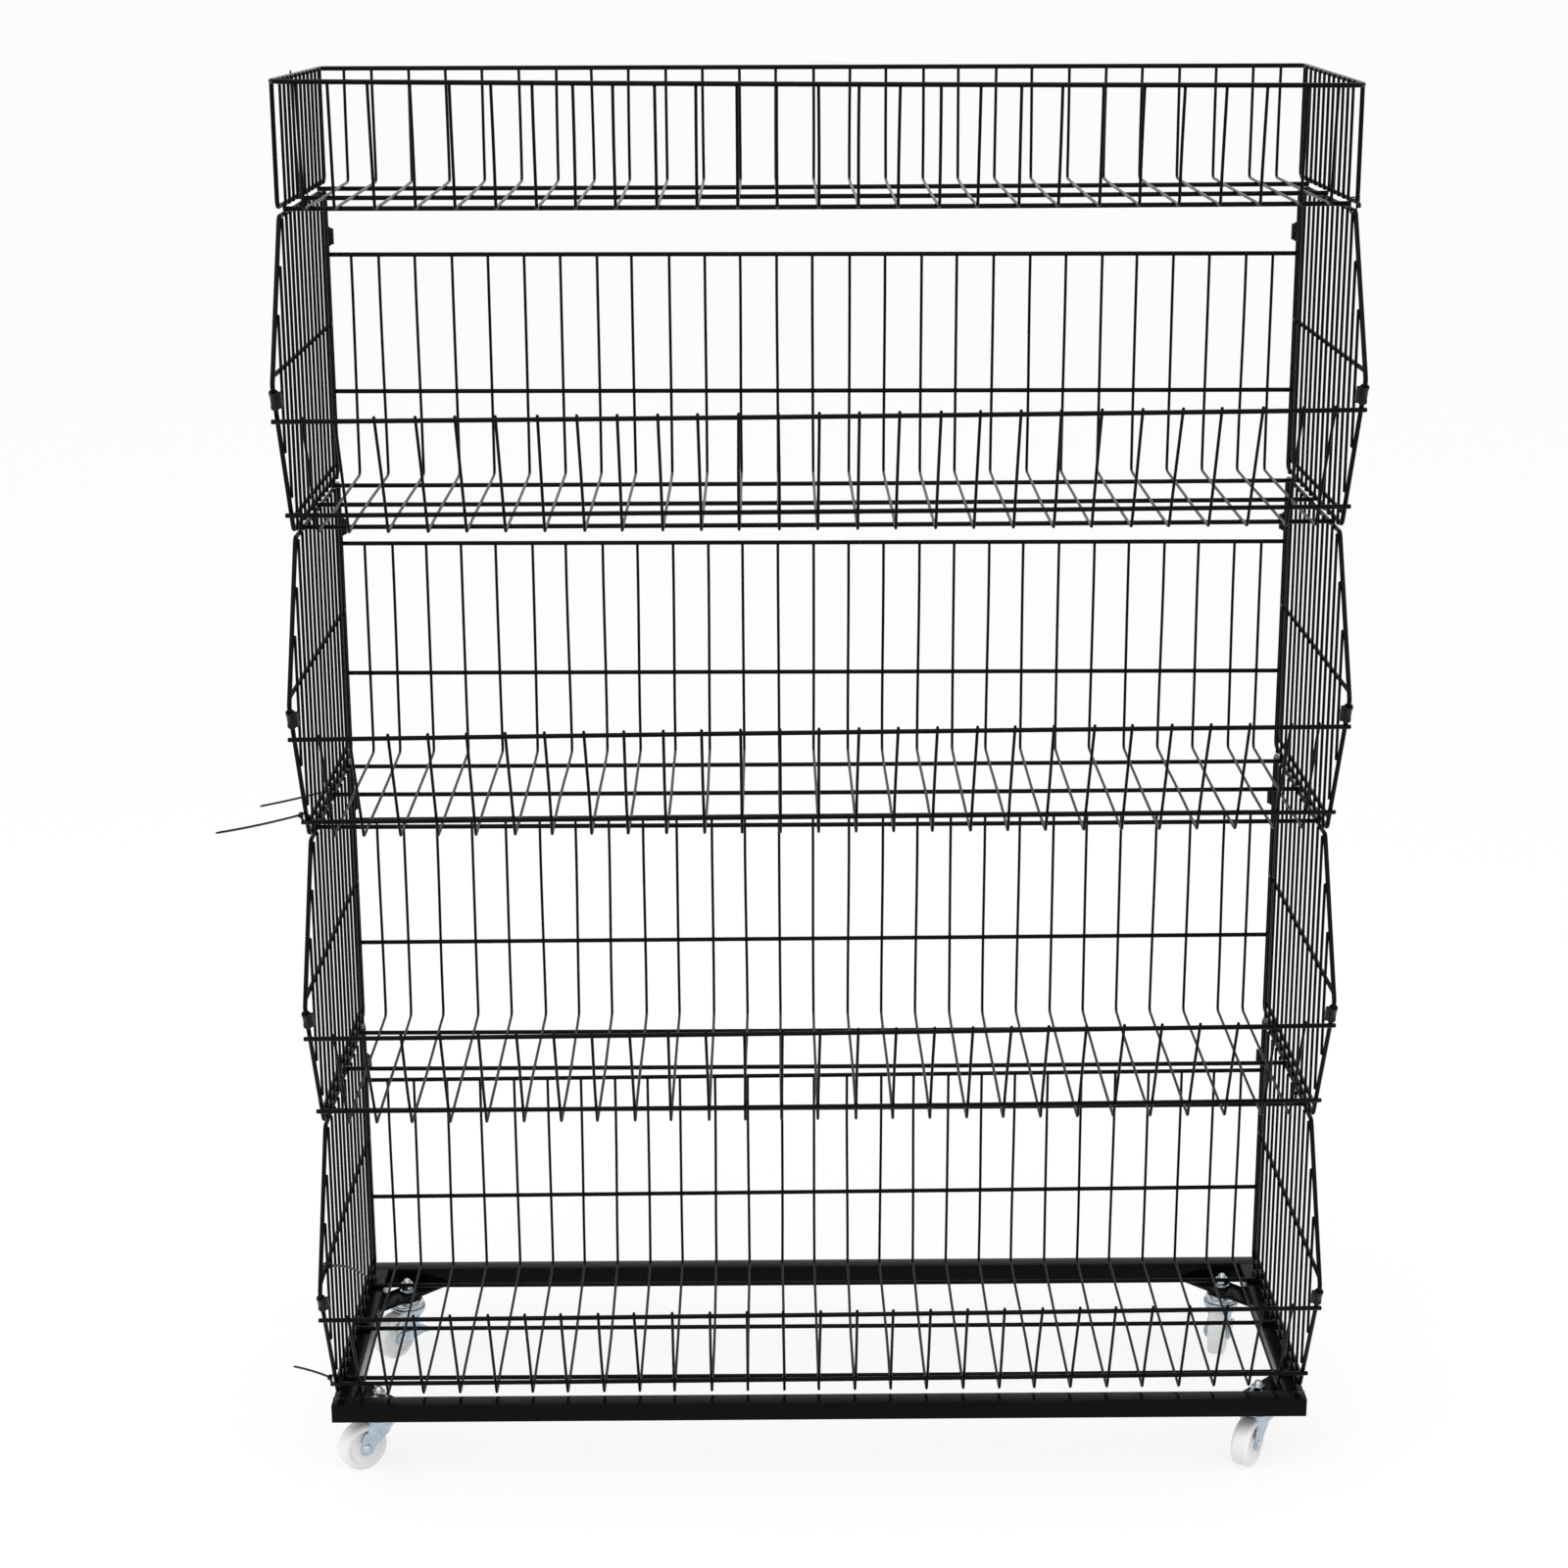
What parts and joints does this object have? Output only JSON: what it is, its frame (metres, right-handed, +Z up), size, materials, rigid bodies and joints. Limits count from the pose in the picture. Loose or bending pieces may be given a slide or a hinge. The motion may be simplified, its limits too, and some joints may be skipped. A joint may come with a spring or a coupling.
{
  "type": "retail display rack",
  "caption": "Mobile wire display rack: stacked front-access wire baskets with a shallow top basket on a square-tube base with swivel casters.",
  "frame": {"origin": "on the ground under the middle of the base frame", "axes": "+X to the rack's right seen from the front, +Y from the front to the back, +Z up"},
  "size_m": [1.0707, 0.4319, 1.4104],
  "materials": {
    "black_powder_coat": "glossy black powder coat on steel wire and tube",
    "zinc_plated_steel": "bright zinc plating, slightly blue",
    "white_nylon": "moulded white nylon",
    "black_nylon": "moulded black nylon"
  },
  "bodies": {
    "rack": {"base_front_rail": "black_powder_coat", "base_back_rail": "black_powder_coat", "base_left_rail": "black_powder_coat", "base_right_rail": "black_powder_coat", "base_corner_straps": "black_powder_coat", "caster_stems": "zinc_plated_steel", "caster_nuts": "zinc_plated_steel", "caster_lock_washers": "zinc_plated_steel", "caster_balls": "zinc_plated_steel", "basket1_back": "black_powder_coat", "basket2_back": "black_powder_coat", "basket3_back": "black_powder_coat", "basket4_back": "black_powder_coat", "basket1_floor": "black_powder_coat", "basket2_floor": "black_powder_coat", "basket3_floor": "black_powder_coat", "basket4_floor": "black_powder_coat", "basket1_front": "black_powder_coat", "basket2_front": "black_powder_coat", "basket3_front": "black_powder_coat", "basket4_front": "black_powder_coat", "basket1_left_side": "black_powder_coat", "basket2_left_side": "black_powder_coat", "basket3_left_side": "black_powder_coat", "basket4_left_side": "black_powder_coat", "basket1_right_side": "black_powder_coat", "basket2_right_side": "black_powder_coat", "basket3_right_side": "black_powder_coat", "basket4_right_side": "black_powder_coat", "basket1_sleeves": "black_nylon", "basket2_sleeves": "black_nylon", "basket3_sleeves": "black_nylon", "basket4_sleeves": "black_nylon", "top_back": "black_powder_coat", "top_floor": "black_powder_coat", "top_front": "black_powder_coat", "top_left_side": "black_powder_coat", "top_right_side": "black_powder_coat", "cable_ties": "black_nylon"},
    "swivel_front_left": {"fork_front_left": "zinc_plated_steel", "axle_front_left": "zinc_plated_steel"},
    "wheel_front_left": {"wheel_front_left": "white_nylon"},
    "swivel_front_right": {"fork_front_right": "zinc_plated_steel", "axle_front_right": "zinc_plated_steel"},
    "wheel_front_right": {"wheel_front_right": "white_nylon"},
    "swivel_back_left": {"fork_back_left": "zinc_plated_steel", "axle_back_left": "zinc_plated_steel"},
    "wheel_back_left": {"wheel_back_left": "white_nylon"},
    "brake_back_left": {"brake_back_left": "zinc_plated_steel"},
    "swivel_back_right": {"fork_back_right": "zinc_plated_steel", "axle_back_right": "zinc_plated_steel"},
    "wheel_back_right": {"wheel_back_right": "white_nylon"},
    "brake_back_right": {"brake_back_right": "zinc_plated_steel"}
  },
  "joints": [
    {"name": "swivel_front_left", "type": "hinge", "parent": "rack", "child": "swivel_front_left", "pos_m": [-0.45666, -0.12666, 0.053], "axis": [0, 0, 1], "continuous": true},
    {"name": "spin_front_left", "type": "hinge", "parent": "swivel_front_left", "child": "wheel_front_left", "pos_m": [-0.47469, -0.13928, 0.025], "axis": [0.5736, -0.8192, 0], "continuous": true},
    {"name": "swivel_front_right", "type": "hinge", "parent": "rack", "child": "swivel_front_right", "pos_m": [0.45666, -0.12666, 0.053], "axis": [0, 0, 1], "continuous": true},
    {"name": "spin_front_right", "type": "hinge", "parent": "swivel_front_right", "child": "wheel_front_right", "pos_m": [0.44501, -0.14532, 0.025], "axis": [0.848, -0.5299, 0], "continuous": true},
    {"name": "swivel_back_left", "type": "hinge", "parent": "rack", "child": "swivel_back_left", "pos_m": [-0.45666, 0.12666, 0.053], "axis": [0, 0, 1], "continuous": true},
    {"name": "spin_back_left", "type": "hinge", "parent": "swivel_back_left", "child": "wheel_back_left", "pos_m": [-0.4711, 0.11006, 0.025], "axis": [0.7547, -0.6561, 0], "continuous": true},
    {"name": "press_brake_back_left", "type": "hinge", "parent": "swivel_back_left", "child": "brake_back_left", "pos_m": [-0.4711, 0.11006, 0.025], "axis": [-0.7547, 0.6561, 0], "range_deg": [0, 12]},
    {"name": "swivel_back_right", "type": "hinge", "parent": "rack", "child": "swivel_back_right", "pos_m": [0.45666, 0.12666, 0.053], "axis": [0, 0, 1], "continuous": true},
    {"name": "spin_back_right", "type": "hinge", "parent": "swivel_back_right", "child": "wheel_back_right", "pos_m": [0.45097, 0.10541, 0.025], "axis": [0.9659, -0.2588, 0], "continuous": true},
    {"name": "press_brake_back_right", "type": "hinge", "parent": "swivel_back_right", "child": "brake_back_right", "pos_m": [0.45097, 0.10541, 0.025], "axis": [-0.9659, 0.2588, 0], "range_deg": [0, 12]}
  ]
}
